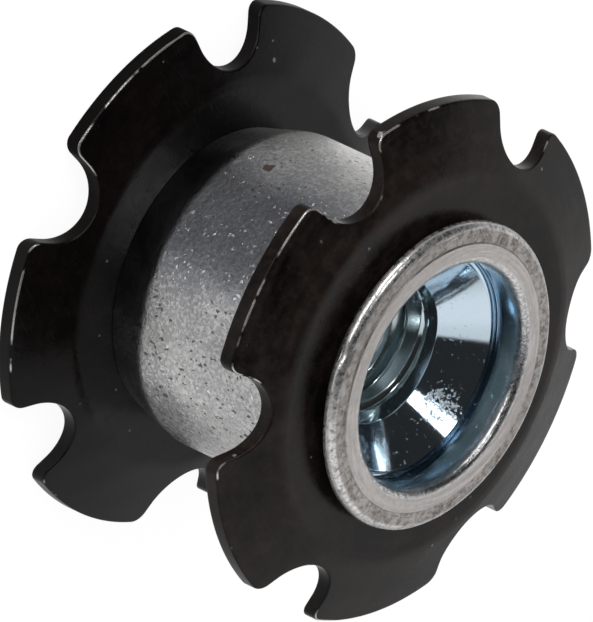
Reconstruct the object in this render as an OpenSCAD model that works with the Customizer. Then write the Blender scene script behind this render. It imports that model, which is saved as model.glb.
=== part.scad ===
// Star nut: a threaded barrel that carries two folded star washers.
// The axis is +Z and the origin is the centre of the base.

/* [Star washers] */
// Diameter over the tabs of a star
star_d = 23; // [22:0.1:26]
// Thickness of the sheet
sheet_t = 0.65; // [0.5:0.05:0.9]
// Number of tabs on each star
tab_count = 6; // [5:1:7]
// Length of a tab, from its fold to the outer edge
tab_len = 2.9; // [2.5:0.1:3.4]
// Angle by which the tabs lean down from the hub
tab_angle = 20; // [10:1:30]
// Inside radius of the fold
fold_r = 1; // [0.5:0.1:1.5]
// Depth of a notch from the outer edge
notch_depth = 2.3; // [1.9:0.1:2.5]
// Radius of a notch's round bottom
notch_r = 1.9; // [1.5:0.05:2.1]
// Angle by which each side of a notch flares
notch_flare = 20; // [5:1:30]
// Radius of a tab's corners
corner_r = 0.55; // [0.3:0.05:0.8]
// Bevel that breaks the outer edges of a tab
edge_break = 0.08; // [0.04:0.02:0.14]
// Turn of the rear star about the axis, from the front star
rear_turn = 32; // [0:1:60]
// Radial clearance between a star's hole and the barrel
hole_gap = 0.05; // [0.02:0.01:0.1]

/* [Barrel] */
// Diameter of the sleeve between the stars
sleeve_d = 14.1; // [13.7:0.1:14.5]
// Length of the sleeve, face to face
sleeve_len = 11; // [8:0.5:16]
// Height of the tapered shoulder at each end of the sleeve
shoulder_h = 2.1; // [1.6:0.1:2.6]
// Inset of a shoulder where it meets the star
shoulder_in = 0.6; // [0.4:0.05:0.8]
// Radius of the edge between the sleeve and a shoulder
shoulder_r = 1.5; // [0.5:0.1:2.5]
// Diameter of the ends that pass through the stars
spigot_d = 11.5; // [11.2:0.1:11.8]

/* [Swaged lips] */
// Diameter of a lip
lip_d = 13.6; // [13.2:0.1:14]
// Height of a lip above its star
lip_h = 1; // [0.8:0.05:1.3]
// Diameter over which a lip presses on its star
lip_seat_d = 12.3; // [12:0.1:12.6]
// Thickness of a lip at its outer edge
lip_rim_t = 0.5; // [0.45:0.05:0.7]
// Radius of a lip's upper edge
lip_edge_r = 0.3; // [0.2:0.02:0.34]
// Radius of a lip's lower edge
lip_under_r = 0.1; // [0.06:0.01:0.11]
// Diameter of the raised inner band on a lip's face
band_d = 11.9; // [11.4:0.1:12.4]
// Height of that band
band_h = 0.06; // [0.03:0.01:0.1]

/* [Mouths and thread] */
// Diameter of a mouth's straight wall
mouth_d = 10; // [9.6:0.1:10.2]
// Radius of the edge between a lip's face and the mouth
mouth_edge_r = 0.22; // [0.1:0.02:0.3]
// Depth of the ring groove's centre below the lip's face
groove_depth = 1.72; // [1.6:0.02:1.9]
// Radius of the ring groove at the foot of the wall
groove_r = 0.25; // [0.15:0.01:0.28]
// Height of the cone's edge above the groove's centre
cone_rise = 0.17; // [0.05:0.01:0.2]
// Diameter at the small end of the cone
cone_small_d = 6.4; // [6:0.1:7]
// Height of the cone
cone_h = 1.65; // [1.3:0.05:2]
// Diameter of the tapped hole, over the crests of the thread
thread_hole_d = 5; // [4.8:0.05:5.2]

/* [Hidden] */
$fn = 96;
arc_steps = 6;
over = 1;

star_r = star_d / 2;
hole_r = spigot_d / 2 + hole_gap;
sleeve_r = sleeve_d / 2;
lip_r = lip_d / 2;
mouth_r = mouth_d / 2;
thread_hole_r = thread_hole_d / 2;
tab_slope = tan(tab_angle);

// Fold: both bend arcs share a centre below the hub, where the hub ends
top_bend_r = fold_r + sheet_t;
bend_x = star_r - tab_len - top_bend_r * tan(tab_angle / 2);

// Heights of the sheet's two faces at radius x on a tab, from the hub's lower face
function tab_face(bend, x) =
    bend * cos(tab_angle) - fold_r - (x - bend_x - bend * sin(tab_angle)) * tab_slope;
tab_low = tab_face(fold_r, star_r - edge_break);

// Levels along the axis
rear_z = max(-tab_low, lip_h + band_h);
sleeve_z = rear_z + sheet_t;
front_z = sleeve_z + sleeve_len;
barrel_low = rear_z - lip_h - band_h;
barrel_high = front_z + sheet_t + lip_h + band_h;
barrel_mid = (barrel_low + barrel_high) / 2;

// Mouth, measured down from the face of the raised band
groove_x = mouth_r + groove_r / 2 - groove_r;
groove_z = groove_depth + band_h;
cone_top_z = groove_z - cone_rise;
cone_low_z = cone_top_z + cone_h;
cone_big_r = groove_x - sqrt(groove_r * groove_r - cone_rise * cone_rise);
lead_in = cone_small_d / 2 - thread_hole_r;

// Points along an arc about a centre, from one angle to another
function arc(c, r, from, to) =
    [for (i = [0 : arc_steps]) let (a = from + (to - from) * i / arc_steps)
        c + r * [cos(a), sin(a)]];

// Notch: its round bottom, its flared sides and the fillets at the tabs' corners
notch_x = star_r - notch_depth + notch_r;
side_dir = [cos(notch_flare), sin(notch_flare)];
side_normal = [-sin(notch_flare), cos(notch_flare)];
fillet_line = [notch_x, 0] + (notch_r + corner_r) * side_normal;
along = fillet_line * side_dir;
reach = star_r - corner_r;
fillet_c = fillet_line
    + (sqrt(along * along - fillet_line * fillet_line + reach * reach) - along) * side_dir;

module notch() {
    half = [
        [notch_x, 0] + notch_r * side_normal,
        fillet_c - corner_r * side_normal,
        fillet_c,
        fillet_c * (star_r + 2 * over) / reach
    ];
    translate([notch_x, 0])
        circle(r = notch_r);
    difference() {
        polygon(concat(
            half,
            [for (i = [len(half) - 1 : -1 : 0]) [half[i][0], -half[i][1]]]
        ));
        for (side = [-1, 1])
            translate([fillet_c[0], side * fillet_c[1]])
                circle(r = corner_r);
    }
}

module star_outline() {
    difference() {
        circle(r = star_r + over);
        for (i = [0 : tab_count - 1])
            rotate((i + 0.5) * 360 / tab_count)
                notch();
    }
}

// Section of the sheet: flat hub, fold and tab, with broken outer edges
module sheet_section() {
    low = arc([bend_x, -fold_r], fold_r, 90, 90 - tab_angle);
    high = arc([bend_x, -fold_r], top_bend_r, 90 - tab_angle, 90);
    bevel_x = star_r - edge_break;
    polygon(concat(
        [[hole_r, 0]],
        low,
        [
            [bevel_x, tab_face(fold_r, bevel_x)],
            [star_r, tab_face(fold_r, star_r) + edge_break],
            [star_r, tab_face(top_bend_r, star_r) - edge_break],
            [bevel_x, tab_face(top_bend_r, bevel_x)]
        ],
        high,
        [[hole_r, sheet_t]]
    ));
}

module star() {
    intersection() {
        rotate_extrude()
            sheet_section();
        translate([0, 0, tab_low - over])
            linear_extrude(sheet_t - tab_low + 2 * over)
                star_outline();
    }
}

// Half section of the upper end of the barrel, from its middle up
module barrel_outside() {
    seat_z = front_z - barrel_mid;
    face_z = seat_z + sheet_t;
    top_z = face_z + lip_h;
    taper = atan(shoulder_in / shoulder_h);
    shoulder_z = seat_z - shoulder_h - shoulder_r * tan(taper / 2);
    under_z = top_z - lip_rim_t;
    polygon(concat(
        [[0, 0], [sleeve_r, 0]],
        arc([sleeve_r - shoulder_r, shoulder_z], shoulder_r, 0, taper),
        [
            [sleeve_r - shoulder_in, seat_z],
            [spigot_d / 2, seat_z],
            [spigot_d / 2, face_z],
            [lip_seat_d / 2, face_z]
        ],
        arc([lip_r - lip_under_r, under_z + lip_under_r], lip_under_r, -60, 0),
        arc([lip_r - lip_edge_r, top_z - lip_edge_r], lip_edge_r, 0, 90),
        [
            [band_d / 2, top_z],
            [band_d / 2 - band_h, top_z + band_h],
            [0, top_z + band_h]
        ]
    ));
}

module mouth_section() {
    top_z = barrel_high - barrel_mid;
    edge = [mouth_r + mouth_edge_r, top_z - mouth_edge_r];
    polygon(concat(
        [[0, -over], [thread_hole_r, -over]],
        [
            [thread_hole_r, top_z - cone_low_z - lead_in],
            [cone_small_d / 2, top_z - cone_low_z],
            [cone_big_r, top_z - cone_top_z],
            [mouth_r, top_z - cone_top_z]
        ],
        arc(edge, mouth_edge_r, 180, 90),
        [[mouth_r + mouth_edge_r, top_z + over], [0, top_z + over]]
    ));
    translate([groove_x, top_z - groove_z])
        circle(r = groove_r);
}

module barrel_half() {
    difference() {
        rotate_extrude()
            barrel_outside();
        rotate_extrude()
            mouth_section();
    }
}

module barrel() {
    color("silver")
        translate([0, 0, barrel_mid]) {
            barrel_half();
            mirror([0, 0, 1])
                barrel_half();
        }
}

module star_front() {
    color([0.16, 0.14, 0.13])
        translate([0, 0, front_z])
            star();
}

module star_rear() {
    color([0.16, 0.14, 0.13])
        translate([0, 0, rear_z])
            rotate(rear_turn)
                star();
}

barrel();
star_front();
star_rear();
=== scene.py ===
import math
from types import SimpleNamespace

import bpy
import numpy as np
from mathutils import Matrix, Vector


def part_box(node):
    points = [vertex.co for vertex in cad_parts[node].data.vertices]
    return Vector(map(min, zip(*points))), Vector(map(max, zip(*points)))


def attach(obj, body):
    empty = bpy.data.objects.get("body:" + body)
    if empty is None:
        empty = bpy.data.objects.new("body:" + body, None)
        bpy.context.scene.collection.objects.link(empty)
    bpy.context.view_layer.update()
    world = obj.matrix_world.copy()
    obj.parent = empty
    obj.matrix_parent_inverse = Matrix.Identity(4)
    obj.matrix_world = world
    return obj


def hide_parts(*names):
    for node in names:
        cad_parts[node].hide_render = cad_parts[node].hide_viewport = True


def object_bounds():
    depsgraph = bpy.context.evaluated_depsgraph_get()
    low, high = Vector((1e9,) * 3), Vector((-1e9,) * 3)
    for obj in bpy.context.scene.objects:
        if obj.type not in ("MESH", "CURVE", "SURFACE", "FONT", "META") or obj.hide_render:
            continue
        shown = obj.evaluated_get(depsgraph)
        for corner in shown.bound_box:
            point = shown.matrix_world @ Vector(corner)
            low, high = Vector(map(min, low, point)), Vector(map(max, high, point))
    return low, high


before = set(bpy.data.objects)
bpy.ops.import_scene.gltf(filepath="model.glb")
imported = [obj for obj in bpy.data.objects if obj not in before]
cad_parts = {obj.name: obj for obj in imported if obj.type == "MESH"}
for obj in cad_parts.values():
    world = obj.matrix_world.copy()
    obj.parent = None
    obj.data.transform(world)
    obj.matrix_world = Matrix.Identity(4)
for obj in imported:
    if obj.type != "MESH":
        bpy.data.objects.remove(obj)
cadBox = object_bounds()
mm = 0.001      # sizes are given in mm, and the scene is in metres
print("frame loaded:", sorted(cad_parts))


class Wire:
    # One socket of a node tree. Arithmetic on it adds the Math nodes it needs.
    def __init__(self, tree, socket=None):
        self.tree, self.socket = tree, socket

    def node(self, kind, settings=(), values=(), output=0):
        # settings go in first, then a number, colour or Wire for each socket
        made = self.tree.nodes.new(kind)
        for name, value in dict(settings).items():
            setattr(made, name, value)
        for name, value in dict(values).items():
            if isinstance(value, Wire):
                self.tree.links.new(value.socket, made.inputs[name])
            else:
                made.inputs[name].default_value = value
        return Wire(self.tree, made.outputs[output]) if made.outputs else None

    def beside(self, output):
        # another output of the same node
        return Wire(self.tree, self.socket.node.outputs[output])

    def maths(self, operation, *values):
        return self.node("ShaderNodeMath", {"operation": operation}, dict(enumerate(values)))

    def __add__(self, other):
        return self.maths("ADD", self, other)

    def __sub__(self, other):
        return self.maths("SUBTRACT", self, other)

    def __rsub__(self, other):
        return self.maths("SUBTRACT", other, self)

    def __mul__(self, other):
        return self.maths("MULTIPLY", self, other)

    def __abs__(self):
        return self.maths("ABSOLUTE", self)

    __radd__, __rmul__ = __add__, __mul__

    def larger(self, other):
        return self.maths("MAXIMUM", self, other)

    def between(self, low, high):
        # 0 below low, 1 above high, and a smooth rise from one to the other
        return self.node("ShaderNodeMapRange",
                         {"interpolation_type": "SMOOTHSTEP"},
                         {"Value": self, "From Min": low, "From Max": high})


def vectorMaths(operation, first, *others, output="Vector"):
    return first.node("ShaderNodeVectorMath", {"operation": operation},
                      dict(enumerate((first, *others))), output)


def mixColour(factor, first, second):
    # each colour is a Wire or three numbers, and sockets 6 and 7 of the Mix node take them
    first, second = (colour if isinstance(colour, Wire) else (*colour, 1)
                     for colour in (first, second))
    return factor.node("ShaderNodeMix", {"data_type": "RGBA"},
                       {0: factor, 6: first, 7: second}, output=2)


def noise(vector, scale, detail, roughness=0.55):
    return vector.node("ShaderNodeTexNoise", {},
                       {"Vector": vector, "Scale": scale, "Detail": detail,
                        "Roughness": roughness})


def stretched(vector, scales, turn=(0, 0, 0)):
    # the same place, drawn out: a small number makes long marks along that axis
    return vector.node("ShaderNodeMapping", {},
                       {"Vector": vector, "Scale": scales, "Rotation": turn})


def away(place, spot):
    # distance in mm from a spot
    return vectorMaths("DISTANCE", place, spot, output="Value")


def facing(outward, azimuth):
    # 1 on the side of the axis at an azimuth in degrees, -1 on the other
    turn = math.radians(azimuth)
    return vectorMaths("DOT_PRODUCT", outward, (math.cos(turn), math.sin(turn), 0), output="Value")


def ragged(vector, scale, amount):
    # the same place, shifted a little by noise, so that round marks come out irregular
    shift = noise(vector, scale, 2).beside("Color")
    return vectorMaths("MULTIPLY_ADD", shift, (amount,) * 3, vector)


def ringed(at, across, up, around):
    # places for marks that run round the axis: quick across the rings and slow around them
    level = at.place.node("ShaderNodeCombineXYZ", {},
                          {0: at.radius * across, 1: at.height * up, 2: 0})
    return vectorMaths("MULTIPLY_ADD", at.outward, (around,) * 3, level)


def dots(vector, scale, size):
    # scattered round dots, each with its own size from nothing up to size
    soft = 0.04
    cell = vector.node("ShaderNodeTexVoronoi", {}, {"Vector": vector, "Scale": scale})
    own = cell.node("ShaderNodeSeparateColor", {}, {0: cell.beside("Color")})
    return 1 - (cell - own * size).between(-soft, soft)


def attribute(wire, name):
    return wire.node("ShaderNodeAttribute", {"attribute_name": name}, output="Fac")


def newMaterial(name):
    # A material, a wire to add its nodes with, and where it is looked at, in mm: the place, its
    # distance from the axis, the way out from the axis and the height.
    material = bpy.data.materials.new(name)
    material.use_nodes = True
    material.node_tree.nodes.clear()
    wire = Wire(material.node_tree)
    place = vectorMaths("MULTIPLY", wire.node("ShaderNodeTexCoord", output="Object"),
                        (1 / mm,) * 3)
    flat = vectorMaths("MULTIPLY", place, (1, 1, 0))
    at = SimpleNamespace(
        place=place,
        radius=vectorMaths("LENGTH", flat, output="Value"),
        outward=vectorMaths("NORMALIZE", flat),
        height=place.node("ShaderNodeSeparateXYZ", {}, {0: place}, output="Z"))
    return material, wire, at


def finishMaterial(wire, shader, bumps):
    # bumps are (height, depth in mm), laid one on another
    normal = None
    for height, depth in bumps:
        values = {"Height": height, "Distance": depth * mm, "Strength": 1.0}
        if normal:
            values["Normal"] = normal
        normal = wire.node("ShaderNodeBump", {}, values)
    surface = wire.node("ShaderNodeBsdfPrincipled", {}, {**shader, "Normal": normal})
    wire.node("ShaderNodeOutputMaterial", {}, {0: surface})


def ringSurface(name, across, height, material, marks):
    # A closed tube of rings. across holds each point seen from above as x + iy, and height
    # its z, both in mm, one ring a row. Rings and columns close on themselves. marks holds
    # the values of the surface's own attributes.
    rows, columns = across.shape
    height = np.broadcast_to(height, across.shape)
    points = np.stack([across.real, across.imag, height], -1).reshape(-1, 3) * mm
    here = np.arange(rows * columns).reshape(rows, columns)
    above = np.roll(here, -1, 0)
    quads = np.stack([here, np.roll(here, -1, 1), np.roll(above, -1, 1), above], -1)
    mesh = bpy.data.meshes.new(name)
    mesh.from_pydata(points.tolist(), [], quads.reshape(-1, 4).tolist())
    mesh.polygons.foreach_set("use_smooth", np.ones(rows * columns, bool))
    for mark, strength in marks.items():
        layer = mesh.attributes.new(mark, "FLOAT", "POINT")
        strength = np.broadcast_to(strength, across.shape)
        layer.data.foreach_set("value", strength.astype(np.float32).ravel())
    mesh.materials.append(material)
    mesh.update()
    made = bpy.data.objects.new(name, mesh)
    bpy.context.scene.collection.objects.link(made)
    print(name, "points", len(points))
    return made


def sweepArc(centre, radius, start, end, step):
    # points at an even angle along an arc, and the way out from its centre at each
    count = max(4, math.ceil(abs(end - start) * radius / step))
    ray = np.exp(1j * np.linspace(start, end, count + 1))
    return centre + radius * ray, ray


def middleOf(node):
    # height of a node's middle, and half its own height, in mm
    low, high = (corner.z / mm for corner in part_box(node))
    return (low + high) / 2, (high - low) / 2


starShape = {
    "sheet": 0.65,          # thickness
    "tabs": 6,
    "tabLength": 2.9,       # from the fold to the outer edge
    "tabAngle": 20,         # lean of a tab, in degrees
    "foldRadius": 1.0,      # inside of the fold
    "notchDepth": 2.3,      # from the outer edge
    "notchRadius": 1.9,
    "notchFlare": 20,       # of each side of a notch, in degrees
    "cornerRadius": 0.55,
    "holeRadius": 5.8,
    "holeBevel": 0.06,
    "edgeRadius": 0.075,    # roll of the blanked edges
    "edgeWearAndHighlight": (1, 1, 0.5, 0, 0),      # rubbed wear and painted highlight of each ring over the upper rolled edge
    "waveHeight": 0.012,    # of the tabs' faces, which are not quite even
    "waveFrom": 7.5,        # radius where the waves set in
    "waveSpan": 3,          # width over which they grow, and fade to the outer edge
    "waves": ((1.9, 2.3, 0.7), (-0.8, 1.1, 0)),     # radians per mm along x and y, phase
    "rearTurn": 32,         # turn of the rear star from the front one
    "step": 0.15,           # spacing of points along the outline
}


def starOutline(shape, radius):
    # Half a notch is four stretches: an arc about the notch's centre, a straight flared side,
    # a fillet of its own radius and the outer circle. It is mirrored and turned once per tab.
    # The second array holds the way out of the metal at each point.
    step, corner, bottom = shape["step"], shape["cornerRadius"], shape["notchRadius"]
    flare = math.radians(shape["notchFlare"])
    side = np.exp(1j * flare)
    across = 1j * side
    centre = radius - shape["notchDepth"] + bottom
    line = centre + (bottom + corner) * across
    along = (line * np.conj(side)).real
    reach = radius - corner
    fillet = line + (math.sqrt(along ** 2 - abs(line) ** 2 + reach ** 2) - along) * side
    filletEnd = np.angle(fillet)
    halfTab = math.pi / shape["tabs"]

    lowArc, lowWay = sweepArc(centre, bottom, math.pi, math.pi / 2 + flare, step)
    cornerArc, cornerWay = sweepArc(fillet, corner, flare - math.pi / 2, filletEnd, step / 2)
    rimArc, rimWay = sweepArc(0, radius, filletEnd, halfTab, step)
    share = np.linspace(0, 1, 6)[:-1]
    straight = lowArc[-1] + (cornerArc[0] - lowArc[-1]) * share
    half = np.concatenate([lowArc[:-1], straight, cornerArc[:-1], rimArc])
    way = np.concatenate([-lowWay[:-1], np.full(len(share), -across), cornerWay[:-1], rimWay])

    sector = np.concatenate([np.conj(half)[:0:-1], half[:-1]])
    sectorWay = np.concatenate([np.conj(way)[:0:-1], way[:-1]])
    turns = np.exp(2j * halfTab * (np.arange(shape["tabs"])[:, None] + 0.5))
    return (sector * turns).ravel(), (sectorWay * turns).ravel()


def starSurface(name, shape, node, turn, material):
    # The sheet's two faces are one height formula each: level to the fold, an arc through it,
    # then a straight slope. Rings run out along one face, in along the other and back through
    # the hole, and quarter circles roll the edges between face and wall.
    radius = cadBox[1].x / mm
    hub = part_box(node)[1].z / mm - shape["sheet"]
    lean = math.radians(shape["tabAngle"])
    lowerBend, upperBend = shape["foldRadius"], shape["foldRadius"] + shape["sheet"]
    foldStart = radius - shape["tabLength"] - upperBend * math.tan(lean / 2)
    hole, bevel, roll = shape["holeRadius"], shape["holeBevel"], shape["edgeRadius"]

    def face(place, bend):
        # height above the hub's lower face of the face with this radius of bend
        out = np.abs(place)
        into = np.clip(out - foldStart, 0, bend * math.sin(lean))
        past = np.maximum(out - foldStart - bend * math.sin(lean), 0)
        wave = sum(np.cos(alongX * place.real + alongY * place.imag + phase)
                   for alongX, alongY, phase in shape["waves"])
        lift = np.clip((out - shape["waveFrom"]) / shape["waveSpan"], 0, 1)
        lift = shape["waveHeight"] * lift * (radius - out) / shape["waveSpan"]
        return np.sqrt(bend ** 2 - into ** 2) - lowerBend - past * math.tan(lean) + lift * wave

    # rings of a face, far apart over the hub, close through the fold and even along a tab
    outline, way = starOutline(shape, radius)
    inset = outline - roll * way
    outward = inset / np.abs(inset)
    hubMargin, foldWidth = 0.2, 0.7
    hubRings = np.linspace(hole + hubMargin, foldStart, 8)
    foldRings = foldStart + np.linspace(0, foldWidth, 12)[1:]
    innerRings = np.concatenate([[hole + bevel], hubRings, foldRings])
    share = np.linspace(0, 1, 16)[1:, None]
    tabRings = foldRings[-1] + (np.abs(inset) - foldRings[-1]) * share
    faceRows = np.concatenate([innerRings[:, None] * outward, tabRings * outward])
    topHeight, lowHeight = face(faceRows, upperBend), face(faceRows, lowerBend)

    # rolled edges, the wall between them and the hole
    quarter = np.linspace(0, math.pi / 2, len(shape["edgeWearAndHighlight"]) + 1)[1:, None]
    edgeRows = outline - roll * way * (1 - np.sin(quarter))
    drop = roll * (1 - np.cos(quarter))
    topEdge = face(edgeRows, upperBend) - drop
    lowEdge = face(edgeRows, lowerBend) + drop
    between = np.linspace(0, 1, 5)[1:-1, None]
    wallRows = outline * np.ones_like(between)
    wallHeight = topEdge[-1] + (lowEdge[-1] - topEdge[-1]) * between
    holeRows = hole * outward * np.ones((2, 1))
    holeHeight = np.array([[bevel], [shape["sheet"] - bevel]]) * np.ones(len(outline))

    across = np.concatenate([faceRows, edgeRows, wallRows,
                             edgeRows[::-1], faceRows[::-1], holeRows])
    height = np.concatenate([topHeight, topEdge, wallHeight,
                             lowEdge[::-1], lowHeight[::-1], holeHeight])
    worn = np.zeros(len(across))
    worn[len(faceRows):len(faceRows) + len(edgeRows)] = shape["edgeWearAndHighlight"]
    # the rings are taken in reverse, so that the faces point outwards
    across = across[::-1] * np.exp(1j * math.radians(turn))
    star = ringSurface(name, across, height[::-1] + hub, material, {"edge": worn[::-1, None]})
    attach(star, "root")
    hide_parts(node)


blackOxide = {
    "dark": (0.0020, 0.0016, 0.0016),
    "brown": (0.020, 0.0138, 0.0112),
    "bare": (0.60, 0.58, 0.55),       # steel that shows where the oxide is rubbed off, also the colour of the painted edge highlight
    "wearAndHighlightSide": -68,                  # azimuth of the painted edge highlight, on the side where the light falls
    "burrAt": (-2.3, -11.2, 12.4),    # a bright burr at a corner of the front star
    "roughness": 0.19,
    "specular": 0.13,
    "specks": 0.11,                   # size of the specks of bare steel
}


def blackOxideMaterial(finish):
    material, wire, at = newMaterial("black oxide")
    streaks = noise(ringed(at, 2.2, 0.5, 1.3), 1.0, 4).between(0.38, 0.66)
    clouds = noise(at.place, 0.3, 5, 0.62).between(0.38, 0.68)
    grain = noise(at.place, 9.0, 2)
    mottle = noise(at.place, 1.6, 4, 0.7).between(0.42, 0.66)
    fold = at.radius.between(8.0, 8.5) * (1 - at.radius.between(8.8, 9.6))
    scratch = noise(stretched(at.place, (9, 0.6, 1), (0, 0, 0.7)), 1.0, 2).between(0.66, 0.72)

    # the rolled edges are partly rubbed to steel and partly carry a painted highlight, strongest
    # on the side and rim where the light falls, and a few specks show steel
    side = facing(at.outward, finish["wearAndHighlightSide"]).between(0.55, 0.9)
    rim = at.radius.between(10.7, 11.1)
    patches = noise(at.place, 0.55, 3, 0.6) + side * rim * 0.18
    rubbedAndHighlight = attribute(wire, "edge") * patches.between(0.58, 0.68)
    specks = dots(at.place, 1.1, finish["specks"]) * noise(at.place, 0.5, 1).between(0.52, 0.6)
    burr = 1 - away(ragged(at.place, 3.0, 0.4), finish["burrAt"]).between(0.18, 0.3)
    bare = rubbedAndHighlight.larger(specks * 0.4).larger(burr)

    # the oxide is mottled brown, less on the rear star
    browned = streaks * 0.2 + clouds * 0.45 + mottle * 0.3 + fold * 0.15
    browned = browned * (0.2 + at.height.between(3.0, 9.0) * 0.8)
    colour = mixColour(browned, finish["dark"], finish["brown"])
    colour = mixColour(bare, colour, finish["bare"])
    finishMaterial(wire, {
        "Base Color": colour,
        "Metallic": bare * 0.9,
        "Roughness": finish["roughness"] + streaks * 0.04 + mottle * 0.05 + grain * 0.05,
        "Specular IOR Level": finish["specular"],
    }, [
        (clouds * 0.6 + streaks * 0.2 + mottle * 0.2, 0.006),
        (grain, 0.004),
        (scratch, 0.003),
    ])
    return material


oxide = blackOxideMaterial(blackOxide)
starSurface("front_star", starShape, "star_front", 0, oxide)
starSurface("rear_star", starShape, "star_rear", starShape["rearTurn"], oxide)


barrelShape = {
    "sleeveRadius": 7.05,
    "shoulderHeight": 2.1,
    "shoulderInset": 0.6,
    "shoulderEdge": 1.5,    # radius between the sleeve and a shoulder
    "shoulderFoot": 0.04,   # radius where a shoulder meets the star
    "spigotRadius": 5.75,
    "lipHeight": 1.0,
    "lipSeatRadius": 6.15,
    "lipRadius": 6.8,
    "lipRim": 0.5,          # thickness at the outer edge
    "lipEdge": 0.35,
    "lipUnder": 0.1,
    "underRise": 0.04,      # of the undercut's corner above the rim's lower edge
    "bandRadius": 5.95,     # raised inner band of a lip
    "bandHeight": 0.06,
    "mouthRadius": 5.0,
    "mouthEdge": 0.30,
    "grooveDepth": 1.78,    # of its centre, below the band
    "grooveRadius": 0.25,
    "coneRise": 0.17,       # of the cone's edge above the groove's centre
    "coneSmallRadius": 3.2,
    "coneHeight": 1.65,
    "crestRadius": 2.5,     # the thread's crests, M6
    "threadDepth": 0.53,
    "pitch": 1.0,
    "halfCrest": 0.13,      # half of a crest's width and the width of a flank, in pitches
    "flank": 0.30,
    "leadIn": 0.45,         # slope of the lead-in, outward per height
    "unevenFrom": 5.9,      # radius where a swaged lip's unevenness sets in
    "unevenSpan": 0.7,      # width over which it grows
    "unevenRise": 0.3,      # height above the star where it sets in, and over which it grows
    "lipWaves": ((0.5, 3, 1), (0.35, 7, 2.2), (0.3, 16, 0)),    # share, waves a turn, phase
    "waveDepth": 0.018,     # of the waves in the lip's outer edge
    "sag": 0.012,           # by which the lip's face sinks
    "sagWave": (0.6, 5, 0.4),       # how the sag varies: share, waves a turn, phase
    "nickAt": -51,          # azimuth of a nick in the upper lip
    "nickDepth": 0.13,
    "nickWidth": 0.045,     # in radians
    "columns": 180,         # around the axis
    "threadRow": 0.04,      # height of a row in the bore
    "spacing": {"sleeve": 0.3, "lip": 0.12, "mouth": 0.14, "groove": 0.08, "cone": 0.16},
}


def roundedPath(corners, step):
    # A path through corners, each (x, z, radius), as x + iz: straight stretches whose points
    # crowd to their ends by a cosine, and arcs that turn from one stretch to the next.
    spots = [complex(x, z) for x, z, _ in corners]
    path, last = [], spots[0]
    for place in range(1, len(spots)):
        here, radius = spots[place], corners[place][2]
        before = here - spots[place - 1]
        before /= abs(before)
        bend = 0.0
        if place < len(spots) - 1:
            after = spots[place + 1] - here
            bend = float(np.angle(after / before))
        cut = radius * math.tan(abs(bend) / 2)
        end = here - before * cut
        count = max(4, math.ceil(abs(end - last) / step) + 2)
        share = (1 - np.cos(np.linspace(0, math.pi, count))) / 2
        path.append(last + (end - last) * share[:-1])
        last = end
        if cut:
            turn = np.linspace(0, bend, 7)
            way = 1j * np.sign(bend)
            arc = end + radius * before * (np.exp(1j * turn) - 1) / way
            path.append(arc[:-1])
            last = arc[-1]
    path.append(np.array([last]))
    return np.concatenate(path)


def barrelProfile(shape, seatZ, faceZ, top):
    # Half the barrel's section, from its middle up and in again, as x + iz in three stretches:
    # the sleeve, shoulder and spigot; the lip, its undercut and its raised band; and the
    # mouth's wall, the ring groove and the cone.
    spacing = shape["spacing"]
    lipTop = faceZ + shape["lipHeight"]
    rimZ = lipTop - shape["lipRim"]
    halfBand = shape["bandHeight"] / 2
    outside = roundedPath([
        (shape["sleeveRadius"], 0, 0),
        (shape["sleeveRadius"], seatZ - shape["shoulderHeight"], shape["shoulderEdge"]),
        (shape["sleeveRadius"] - shape["shoulderInset"], seatZ, shape["shoulderFoot"]),
        (shape["spigotRadius"], seatZ, 0),
        (shape["spigotRadius"], faceZ, 0),
        (shape["lipSeatRadius"], faceZ, 0)], spacing["sleeve"])[:-1]
    lip = roundedPath([
        (shape["lipSeatRadius"], faceZ, 0),
        (shape["lipRadius"], rimZ + shape["underRise"], shape["lipUnder"]),
        (shape["lipRadius"], lipTop, shape["lipEdge"]),
        (shape["bandRadius"] + halfBand, lipTop, halfBand),
        (shape["bandRadius"] - halfBand, top, halfBand),
        (shape["mouthRadius"] + shape["mouthEdge"], top, 0)], spacing["lip"])

    ring = shape["grooveRadius"]
    grooveAt = complex(shape["mouthRadius"] + ring / 2 - ring, top - shape["grooveDepth"])
    wallMeets = math.acos((shape["mouthRadius"] - grooveAt.real) / ring)
    coneMeets = -math.pi - math.asin(shape["coneRise"] / ring)
    groove = sweepArc(grooveAt, ring, wallMeets, coneMeets, spacing["groove"])[0]
    mouth = roundedPath([
        (shape["mouthRadius"] + shape["mouthEdge"], top, 0),
        (shape["mouthRadius"], top, shape["mouthEdge"]),
        (shape["mouthRadius"], grooveAt.imag, 0)], spacing["mouth"])
    clearance = 0.02
    mouth = mouth[mouth.imag > groove[0].imag + clearance]
    cone = roundedPath([
        (groove[-1].real, groove[-1].imag, 0),
        (shape["coneSmallRadius"], groove[-1].imag - shape["coneHeight"], 0)], spacing["cone"])
    return outside, lip, np.concatenate([mouth[1:], groove[:-1], cone])


def threadedBore(shape, angle, end):
    # A height field between the two cones: the distance from the axis is the larger of the
    # lead-in cone and the thread, a V that climbs one pitch per turn.
    rows = math.ceil(2 * end / shape["threadRow"])
    level = np.linspace(end, -end, rows + 1)[1:-1, None]
    phase = (level / shape["pitch"] - angle / (2 * math.pi)) % 1
    flank = np.clip((np.abs(phase - 0.5) - shape["halfCrest"]) / shape["flank"], 0, 1)
    thread = shape["crestRadius"] + shape["threadDepth"] * flank
    leadIn = shape["coneSmallRadius"] - (end - np.abs(level)) * shape["leadIn"]
    return np.maximum(thread, leadIn) + 1j * level


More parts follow.
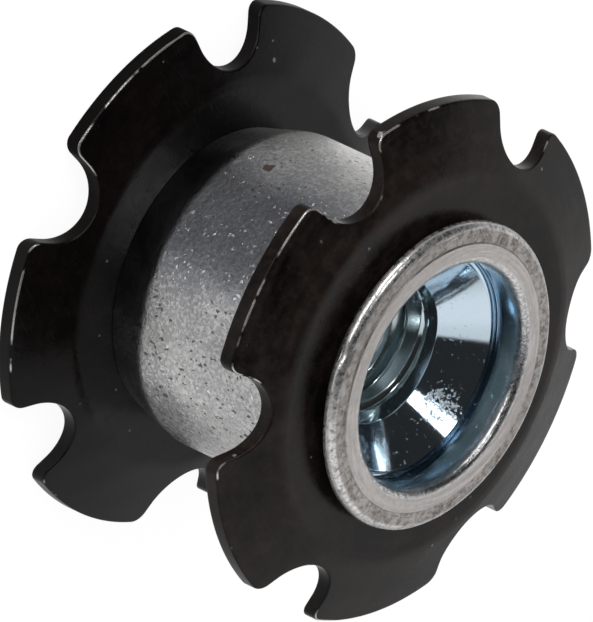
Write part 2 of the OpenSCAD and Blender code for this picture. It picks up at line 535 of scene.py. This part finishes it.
def unevenLip(shape, radii, height, angle, isLip, faceZ):
    # The swaged lip is not quite round or level: a few slow waves, most at its outer edge, and
    # one nick in that edge, a dent that falls off as a bell curve to either side.
    grown = (np.abs(height) - faceZ - shape["unevenRise"]) / shape["unevenRise"]
    rim = np.clip((radii - shape["unevenFrom"]) / shape["unevenSpan"], 0, 1)
    rim = isLip * rim * np.clip(grown, 0, 1)
    wave = sum(share * np.sin(count * angle + phase) for share, count, phase in shape["lipWaves"])
    nickAngle = math.radians(shape["nickAt"] % 360)
    nick = np.exp(-((angle - nickAngle) / shape["nickWidth"]) ** 2) * (height > 0)
    share, count, phase = shape["sagWave"]
    sag = shape["sag"] * (1 + share * np.sin(count * angle + phase))
    radii = radii + rim * (shape["waveDepth"] * wave - shape["nickDepth"] * nick)
    return radii, height - np.sign(height) * rim * sag


def barrelSurface(name, shape, node, seat, material):
    # Both halves are the profile turned about the axis, and the threaded bore joins them.
    middle, top = middleOf(node)
    seatZ = seat - middle
    faceZ = seatZ + starShape["sheet"]
    angle = np.linspace(0, 2 * math.pi, shape["columns"], endpoint=False)
    stretches = barrelProfile(shape, seatZ, faceZ, top)
    profile = np.concatenate(stretches)[:, None] * np.ones(shape["columns"])
    bore = threadedBore(shape, angle, profile[-1, 0].imag)
    section = np.concatenate([profile, bore, np.conj(profile)[:0:-1]])

    # the stretches are counted 0, 1 and 2, and the bore belongs to the last
    part = np.repeat([0, 1, 2], [len(stretch) for stretch in stretches])
    part = np.concatenate([part, np.full(len(bore), 2), part[:0:-1]])[:, None]
    radii, height = unevenLip(shape, section.real, section.imag, angle, part == 1, faceZ)
    barrel = ringSurface(name, radii * np.exp(1j * angle), height + middle, material,
                         {"lip": part == 1, "inside": part == 2})
    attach(barrel, "root")
    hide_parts(node)


zincFinish = {
    "pale": (0.70, 0.69, 0.68),
    "grey": (0.27, 0.272, 0.285),
    # painted highlight: the white of the sleeve's painted glints and of the lip's painted edge
    # highlight
    "paintedHighlightWhite": (0.92, 0.93, 0.94),
    "bare": (0.20, 0.21, 0.25),       # painted shade: the sleeve's dark band where it mirrors shade, between its painted glints
    "shadeBandSide": -76,                 # azimuth of the sleeve's painted dark band and its painted glints
    "pit": (0.05, 0.05, 0.055),
    "paintedLightSide": -128,                 # azimuth of the painted light on the sleeve's palest side
    "pitAndLightSide": -8,                    # azimuth where pits are thickest, which is also lightened as painted light
    "rust": (0.036, 0.022, 0.017),
    "rustAt": (-1.14, -6.66, 5.75),   # middle of a spot of rust, before its edge is made ragged
    "rustSize": 0.25,
    "lip": (0.40, 0.375, 0.355),
    "lipDirt": (0.12, 0.095, 0.08),
    "band": (0.53, 0.50, 0.49),
    "inner": (0.57, 0.68, 0.77),      # bluish plate inside the mouth
    "wall": (0.74, 0.87, 0.94),       # the mouth's straight wall, paler
    "bore": (0.54, 0.62, 0.64),
    "scuffAt": (-1.3, 3.95, 11.95),   # a scuffed patch on the cone
}


def sleevePlate(finish, at):
    # Dull plate with clouds, a crystal grain, pits, painted glints and a spot of rust, and painted
    # light and shade round the sleeve: two lighter sides and a dark band. Gives its colour,
    # roughness, relief, pits and rust.
    crystals = noise(at.place, 6.0, 4, 0.75).between(0.41, 0.59)
    onSleeve = 1 - at.level.between(3.0, 3.5)
    # painted light and shade by side: a dark band with glints, a lit side where pits are thickest,
    # and the palest side
    paintedShadeBand = facing(at.outward, finish["shadeBandSide"]).between(0.84, 0.97)
    pitsAndLight = facing(at.outward, finish["pitAndLightSide"]).between(0.86, 0.96)
    paintedLightMask = facing(at.outward, finish["paintedLightSide"]).between(0.8, 0.97)
    marks = ragged(at.place, 5.0, 0.28)
    pits = dots(stretched(marks, (1, 1, 0.6)), 4.6, 0.33) * onSleeve
    pits = pits * (noise(at.place, 0.6, 2) + pitsAndLight * 0.13).between(0.48, 0.58)
    # painted glints, gathered in the dark band
    paintedGlints = dots(marks, 4.2, 0.36) * onSleeve
    paintedGlints = paintedGlints * (noise(at.place, 0.8, 3) + paintedShadeBand * 0.14).between(0.53, 0.64)
    rustEdge = (finish["rustSize"], finish["rustSize"] + 0.08)
    rust = 1 - away(ragged(at.place, 2.2, 0.5), finish["rustAt"]).between(*rustEdge)

    # painted light on two sides, added to the plate's own clouds and crystals
    toneAndPaintedLight = at.clouds * 0.35 + crystals * 0.5 + paintedLightMask * 0.25 + pitsAndLight * 0.15
    colour = mixColour(toneAndPaintedLight, finish["grey"], finish["pale"])
    # painted shade band, then painted glints in it
    colour = mixColour(paintedShadeBand * 0.55, colour, finish["bare"])
    colour = mixColour(paintedGlints * 0.9, colour, finish["paintedHighlightWhite"])
    colour = mixColour(pits * 0.85, colour, finish["pit"])
    colour = mixColour(rust, colour, finish["rust"])
    rough = 0.16 + at.clouds * 0.05 + at.grain * 0.05 + paintedLightMask * 0.12 + pitsAndLight * 0.05
    return colour, rough, paintedGlints + crystals * 0.2 - pits, pits, rust


def lipMetal(finish, shape, at):
    # A rough, dirty outer band with turned rings, and a smoother, lighter inner one, and a painted
    # highlight on the burnished edges. Gives its colour, roughness, relief, dirt and the
    # burnished, highlighted parts.
    outer = at.radius.between(shape["bandRadius"] - 0.04, shape["bandRadius"] + 0.04)
    turned = noise(ringed(at, 7, 2, 3.5), 1.0, 5, 0.6).between(0.36, 0.64)
    dirt = noise(at.place, 4.0, 5, 0.75).between(0.42, 0.7) * (0.2 + outer * 0.8)
    stain = at.patches * outer * noise(at.place, 1.8, 3).between(0.42, 0.6)
    ticks = noise(at.outward, 14.0, 1).between(0.57, 0.63)
    ticks = ticks * (1 - at.level.between(at.lipLevel - 0.3, at.lipLevel - 0.1))
    burnishedAndHighlight = at.radius.between(6.45, 6.6) + (1 - at.radius.between(5.2, 5.35))

    lightness = turned * (1 - outer * 0.5) * 0.7 + (1 - outer) * 0.3
    colour = mixColour(lightness, finish["lip"], finish["band"])
    colour = mixColour(dirt * 0.7 + stain * 0.35, colour, finish["lipDirt"])
    colour = mixColour(ticks * 0.6, colour, finish["lipDirt"])
    # painted highlight: the burnished edges are whitened so that the light on them reads wider
    colour = mixColour(burnishedAndHighlight * (1 - dirt) * 0.6, colour, finish["paintedHighlightWhite"])
    rough = 0.36 + dirt * 0.15 - burnishedAndHighlight * 0.10
    return colour, rough, turned - dirt - ticks, dirt, burnishedAndHighlight


def insidePlate(finish, at):
    # Bright bluish plate, duller in the bore. Gives its colour, roughness and scuffs.
    scuffPatch = 1 - away(at.place, finish["scuffAt"]).between(0.4, 1.4)
    scuffs = (noise(at.place, 5.0, 4, 0.7) + scuffPatch * 0.15).between(0.62, 0.80)
    wall = at.radius.between(4.9, 4.97) * at.level.between(at.lipLevel - 1.35, at.lipLevel - 1.0)
    colour = mixColour(at.radius.between(3.0, 3.3), finish["bore"], finish["inner"])
    colour = mixColour(wall, colour, finish["wall"])
    rough = 0.07 + wall * 0.11 + (1 - at.radius.between(2.8, 3.0)) * 0.14 + scuffs * 0.35
    return colour, rough, scuffs


def zincMaterial(finish, shape):
    material, wire, at = newMaterial("zinc plate")
    middle, top = middleOf("barrel")
    at.level = abs(at.height - middle)
    at.lipLevel = top - shape["bandHeight"]
    at.grain = noise(at.place, 5.5, 4, 0.7)
    at.clouds = noise(at.place, 0.3, 4).between(0.36, 0.66)
    at.patches = noise(at.place, 0.7, 5, 0.65).between(0.4, 0.62)
    sleeveColour, sleeveRough, sleeveRelief, pits, rust = sleevePlate(finish, at)
    lipColour, lipRough, lipRelief, dirt, burnishedAndHighlight = lipMetal(finish, shape, at)
    insideColour, insideRough, scuffs = insidePlate(finish, at)

    # the bright plate ends in an uneven line just inside the lip's edge
    lip = attribute(wire, "lip")
    uneven = at.grain * 0.5 + at.patches * 0.12
    plateEnd = (at.level + uneven).between(at.lipLevel - 0.20, at.lipLevel)
    inside = attribute(wire, "inside") * (1 - plateEnd)
    offLip, outside = 1 - lip, 1 - inside

    colour = mixColour(lip, sleeveColour, lipColour)
    worn = (pits * offLip).larger(dirt * lip)
    rough = sleeveRough * offLip + lip * lipRough
    finishMaterial(wire, {
        "Base Color": mixColour(inside, colour, insideColour),
        "Metallic": 1 - (worn * 0.4).larger(rust) * outside,
        "Roughness": rough * outside + inside * insideRough,
    }, [
        (at.clouds * outside, 0.03),
        (at.grain * (1 - inside * 0.9) * (1 - lip * burnishedAndHighlight * 0.7), 0.011),
        (sleeveRelief * offLip * outside, 0.02),
        (lipRelief * lip * (1 - burnishedAndHighlight * 0.8), 0.010),
        (scuffs * inside, 0.006),
    ])
    return material


zinc = zincMaterial(zincFinish, barrelShape)
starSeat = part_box("star_front")[1].z / mm - starShape["sheet"]
barrelSurface("threaded_barrel", barrelShape, "barrel", starSeat, zinc)


cameraView = {
    "azimuth": 31.79,
    "elevation": 35.75,
    "roll": 115.1,
    "distance": 0.9,        # in m
    "imageSize": (593, 622),
    "pixelsPerMm": 24.2,
    "hubAt": (424.7, 369.8),    # where the middle of the front star's face falls
    "clip": (0.05, 50),         # nearest and farthest that is seen, in m
}


def cameraBasis(view):
    # the ways to the right of the image, up it and back to the camera
    turn, rise, roll = (math.radians(view[k]) for k in ("azimuth", "elevation", "roll"))
    out = math.cos(rise)
    back = Vector((math.sin(turn) * out, -math.cos(turn) * out, math.sin(rise)))
    level = Vector((math.cos(turn), math.sin(turn), 0))
    raised = back.cross(level)
    right = level * math.cos(roll) + raised * math.sin(roll)
    return right, back.cross(right), back


def makeCamera(view):
    right, up, back = cameraBasis(view)
    wide, tall = view["imageSize"]
    aside = (view["hubAt"][0] - wide / 2) / view["pixelsPerMm"] * mm
    below = (view["hubAt"][1] - tall / 2) / view["pixelsPerMm"] * mm
    hub = Vector((0, 0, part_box("star_front")[1].z))
    lens = bpy.data.cameras.new("camera")
    lens.lens = view["pixelsPerMm"] / mm * view["distance"] / max(wide, tall) * lens.sensor_width
    lens.clip_start, lens.clip_end = view["clip"]
    camera = bpy.data.objects.new("camera", lens)
    camera.matrix_world = Matrix((right, up, back)).transposed().to_4x4()
    camera.location = hub - right * aside + up * below + back * view["distance"]
    bpy.context.scene.collection.objects.link(camera)
    bpy.context.scene.camera = camera
    print("camera placed")


makeCamera(cameraView)


# Ways are (right, up, back) of the camera. An edge is the two values between which its part
# fades in: cosines of the angle from its middle, the sine of the height, or mm from the axis.
studio = {
    "worldLevel": 0.6,              # light from all round
    "darkWay": (0.35, 0.45, 0.82),  # to the unlit part of the room that the metal mirrors
    "darkEdge": (0.23, 0.30),
    "roomDark": 0.03,               # brightness of the unlit part
    "shadeEdge": (-0.1, 0.2),
    "shade": 0.15,                  # strength of a wider, soft shade round the unlit part
    "horizon": 0.5,                 # mirrored brightness of the horizon, against the sky
    "skyEdge": (0.1, 0.45),
    "lamps": [      # name, direction, long side, distance, length and width in m, level
        ("strip", (-0.217, 0.58, 0.785), (0.612, 0.707, -0.353), 0.35, 0.44, 0.07, 0.65),
        ("fill", (0.46, 0.36, 0.81), (1, 0, 0), 0.35, 0.075, 0.075, 0.12),
    ],
    "floorSize": 6.0,               # in m
    "floorWhite": 0.85,
    "floorGlow": 1.10,
    "glowShare": 0.85,              # of the glow in what is seen of the floor
    "dim": [        # parts of the floor that the metal mirrors dimly: azimuth, edge, strength
        (-85, (0.80, 0.93), 0.75),
        (-125, (0.60, 0.97), 0.5),
        (-76, (0.02, 0.24), 0.25),
        (45, (0.80, 0.97), 0.45),
    ],
    "farEdge": (35, 120),
    "farDim": 0.5,                  # dimming of the mirrored floor far from the nut
}


def fromCamera(parts):
    basis = cameraBasis(cameraView)
    way = sum((axis * part for axis, part in zip(basis, parts)), Vector())
    return way.normalized()


def makeLamps(setup):
    target = Vector((0, 0, cadBox[1].z / 2))
    for name, way, along, distance, length, width, level in setup["lamps"]:
        way, along = fromCamera(way), fromCamera(along)
        across = way.cross(along).normalized()
        light = bpy.data.lights.new(name, "AREA")
        light.shape, light.size, light.size_y = "RECTANGLE", length, width
        light.energy = level * (math.pi * distance) ** 2
        lamp = bpy.data.objects.new(name, light)
        lamp.matrix_world = Matrix((across.cross(way), across, way)).transposed().to_4x4()
        lamp.location = target + way * distance
        bpy.context.scene.collection.objects.link(lamp)


def seenRays(wire):
    # 1 for the camera's own rays, and 1 for those that a surface mirrors or lets through
    camera = wire.node("ShaderNodeLightPath", output="Is Camera Ray")
    glossy, through = camera.beside("Is Glossy Ray"), camera.beside("Is Transmission Ray")
    return camera, glossy.larger(through)


def makeWorld(setup):
    world = bpy.data.worlds.new("studio")
    world.use_nodes = True
    world.node_tree.nodes.clear()
    bpy.context.scene.world = world
    wire = Wire(world.node_tree)
    camera, mirror = seenRays(wire)
    way = wire.node("ShaderNodeTexCoord")      # its first output is the way a ray goes
    toDark = vectorMaths("DOT_PRODUCT", way, fromCamera(setup["darkWay"]), output="Value")
    white = 1 - toDark.between(*setup["shadeEdge"]) * setup["shade"]
    white = white * (1 - toDark.between(*setup["darkEdge"]) * (1 - setup["roomDark"]))
    rise = way.node("ShaderNodeSeparateXYZ", {}, {0: way}, output="Z")
    sky = rise.between(*setup["skyEdge"]) * (1 - setup["horizon"])
    white = white * (setup["horizon"] + sky)
    strength = setup["worldLevel"] * (1 - camera) * (1 - mirror) + camera + mirror * white
    shine = wire.node("ShaderNodeBackground", {}, {"Color": (1, 1, 1, 1), "Strength": strength})
    wire.node("ShaderNodeOutputWorld", {}, {0: shine})


def floorMaterial(setup):
    material, wire, at = newMaterial("white floor")
    camera, mirror = seenRays(wire)
    matte = wire.node("ShaderNodeBsdfDiffuse", {}, {"Color": (*[setup["floorWhite"]] * 3, 1)})
    seen = 1 - at.radius.between(*setup["farEdge"]) * setup["farDim"]
    for azimuth, edge, strength in setup["dim"]:
        seen = seen * (1 - facing(at.outward, azimuth).between(*edge) * strength)
    bright = setup["floorGlow"] * (seen * mirror + (1 - mirror))
    glow = wire.node("ShaderNodeEmission", {}, {"Color": (1, 1, 1, 1), "Strength": bright})
    surface = wire.node("ShaderNodeMixShader", {},
                        {0: camera.larger(mirror) * setup["glowShare"], 1: matte, 2: glow})
    wire.node("ShaderNodeOutputMaterial", {}, {0: surface})
    return material


def makeFloor(setup):
    half = setup["floorSize"] / 2
    mesh = bpy.data.meshes.new("floor")
    corners = [(-half, -half, 0), (half, -half, 0), (half, half, 0), (-half, half, 0)]
    mesh.from_pydata(corners, [], [(0, 1, 2, 3)])
    mesh.materials.append(floorMaterial(setup))
    floor = bpy.data.objects.new("floor", mesh)
    bpy.context.scene.collection.objects.link(floor)


makeLamps(studio)
makeWorld(studio)
makeFloor(studio)
bpy.context.scene.view_settings.view_transform = "Standard"
print("studio ready")
